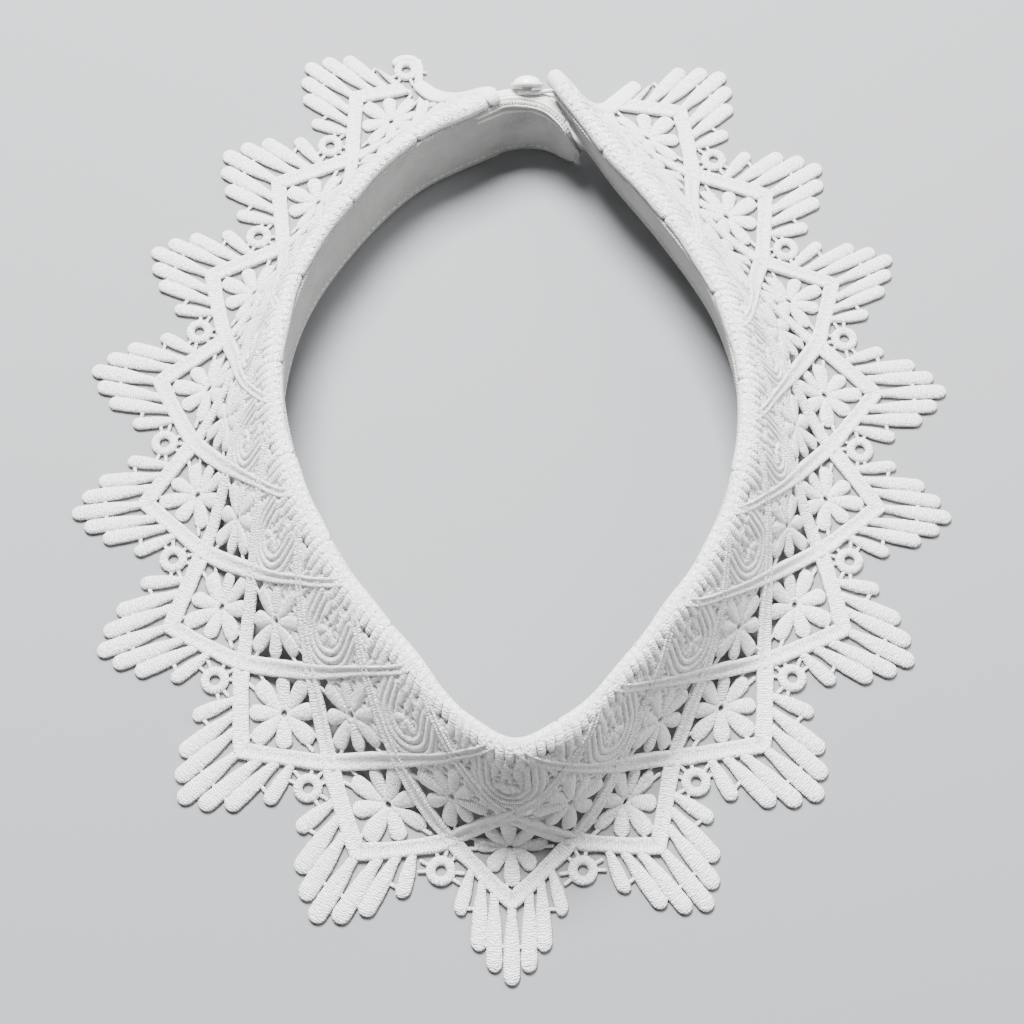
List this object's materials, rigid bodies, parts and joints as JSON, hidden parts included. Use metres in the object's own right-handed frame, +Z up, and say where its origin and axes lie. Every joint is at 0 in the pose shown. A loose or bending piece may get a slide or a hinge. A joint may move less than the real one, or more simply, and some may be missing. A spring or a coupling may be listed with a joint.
{
  "type": "detachable lace collar",
  "caption": "Detachable collar of white pointed guipure lace on a plain cloth neck band, buttoned at the back with a loop and a domed button, standing by itself.",
  "frame": {"origin": "under the middle of the collar's outline, on the surface it stands on", "axes": "+Z up, +Y to the buttoned centre back, so the pointed front of the neck is at -Y; +X to the right as seen from the front"},
  "size_m": [0.1978, 0.2246, 0.0305],
  "materials": {
    "lace_thread": "white satin-stitched embroidery thread with a soft sheen",
    "band_cloth": "plain fine woven white cloth, matt",
    "hem_cloth": "close white binding tape, matt",
    "button_gloss": "glossy white domed button",
    "loop_thread": "white buttonhole thread"
  },
  "bodies": {
    "root": {"lace_fall": "lace_thread", "hem_left": "hem_cloth", "hem_right": "hem_cloth", "neck_band": "band_cloth", "button": "button_gloss", "button_loop": "loop_thread"}
  },
  "joints": []
}
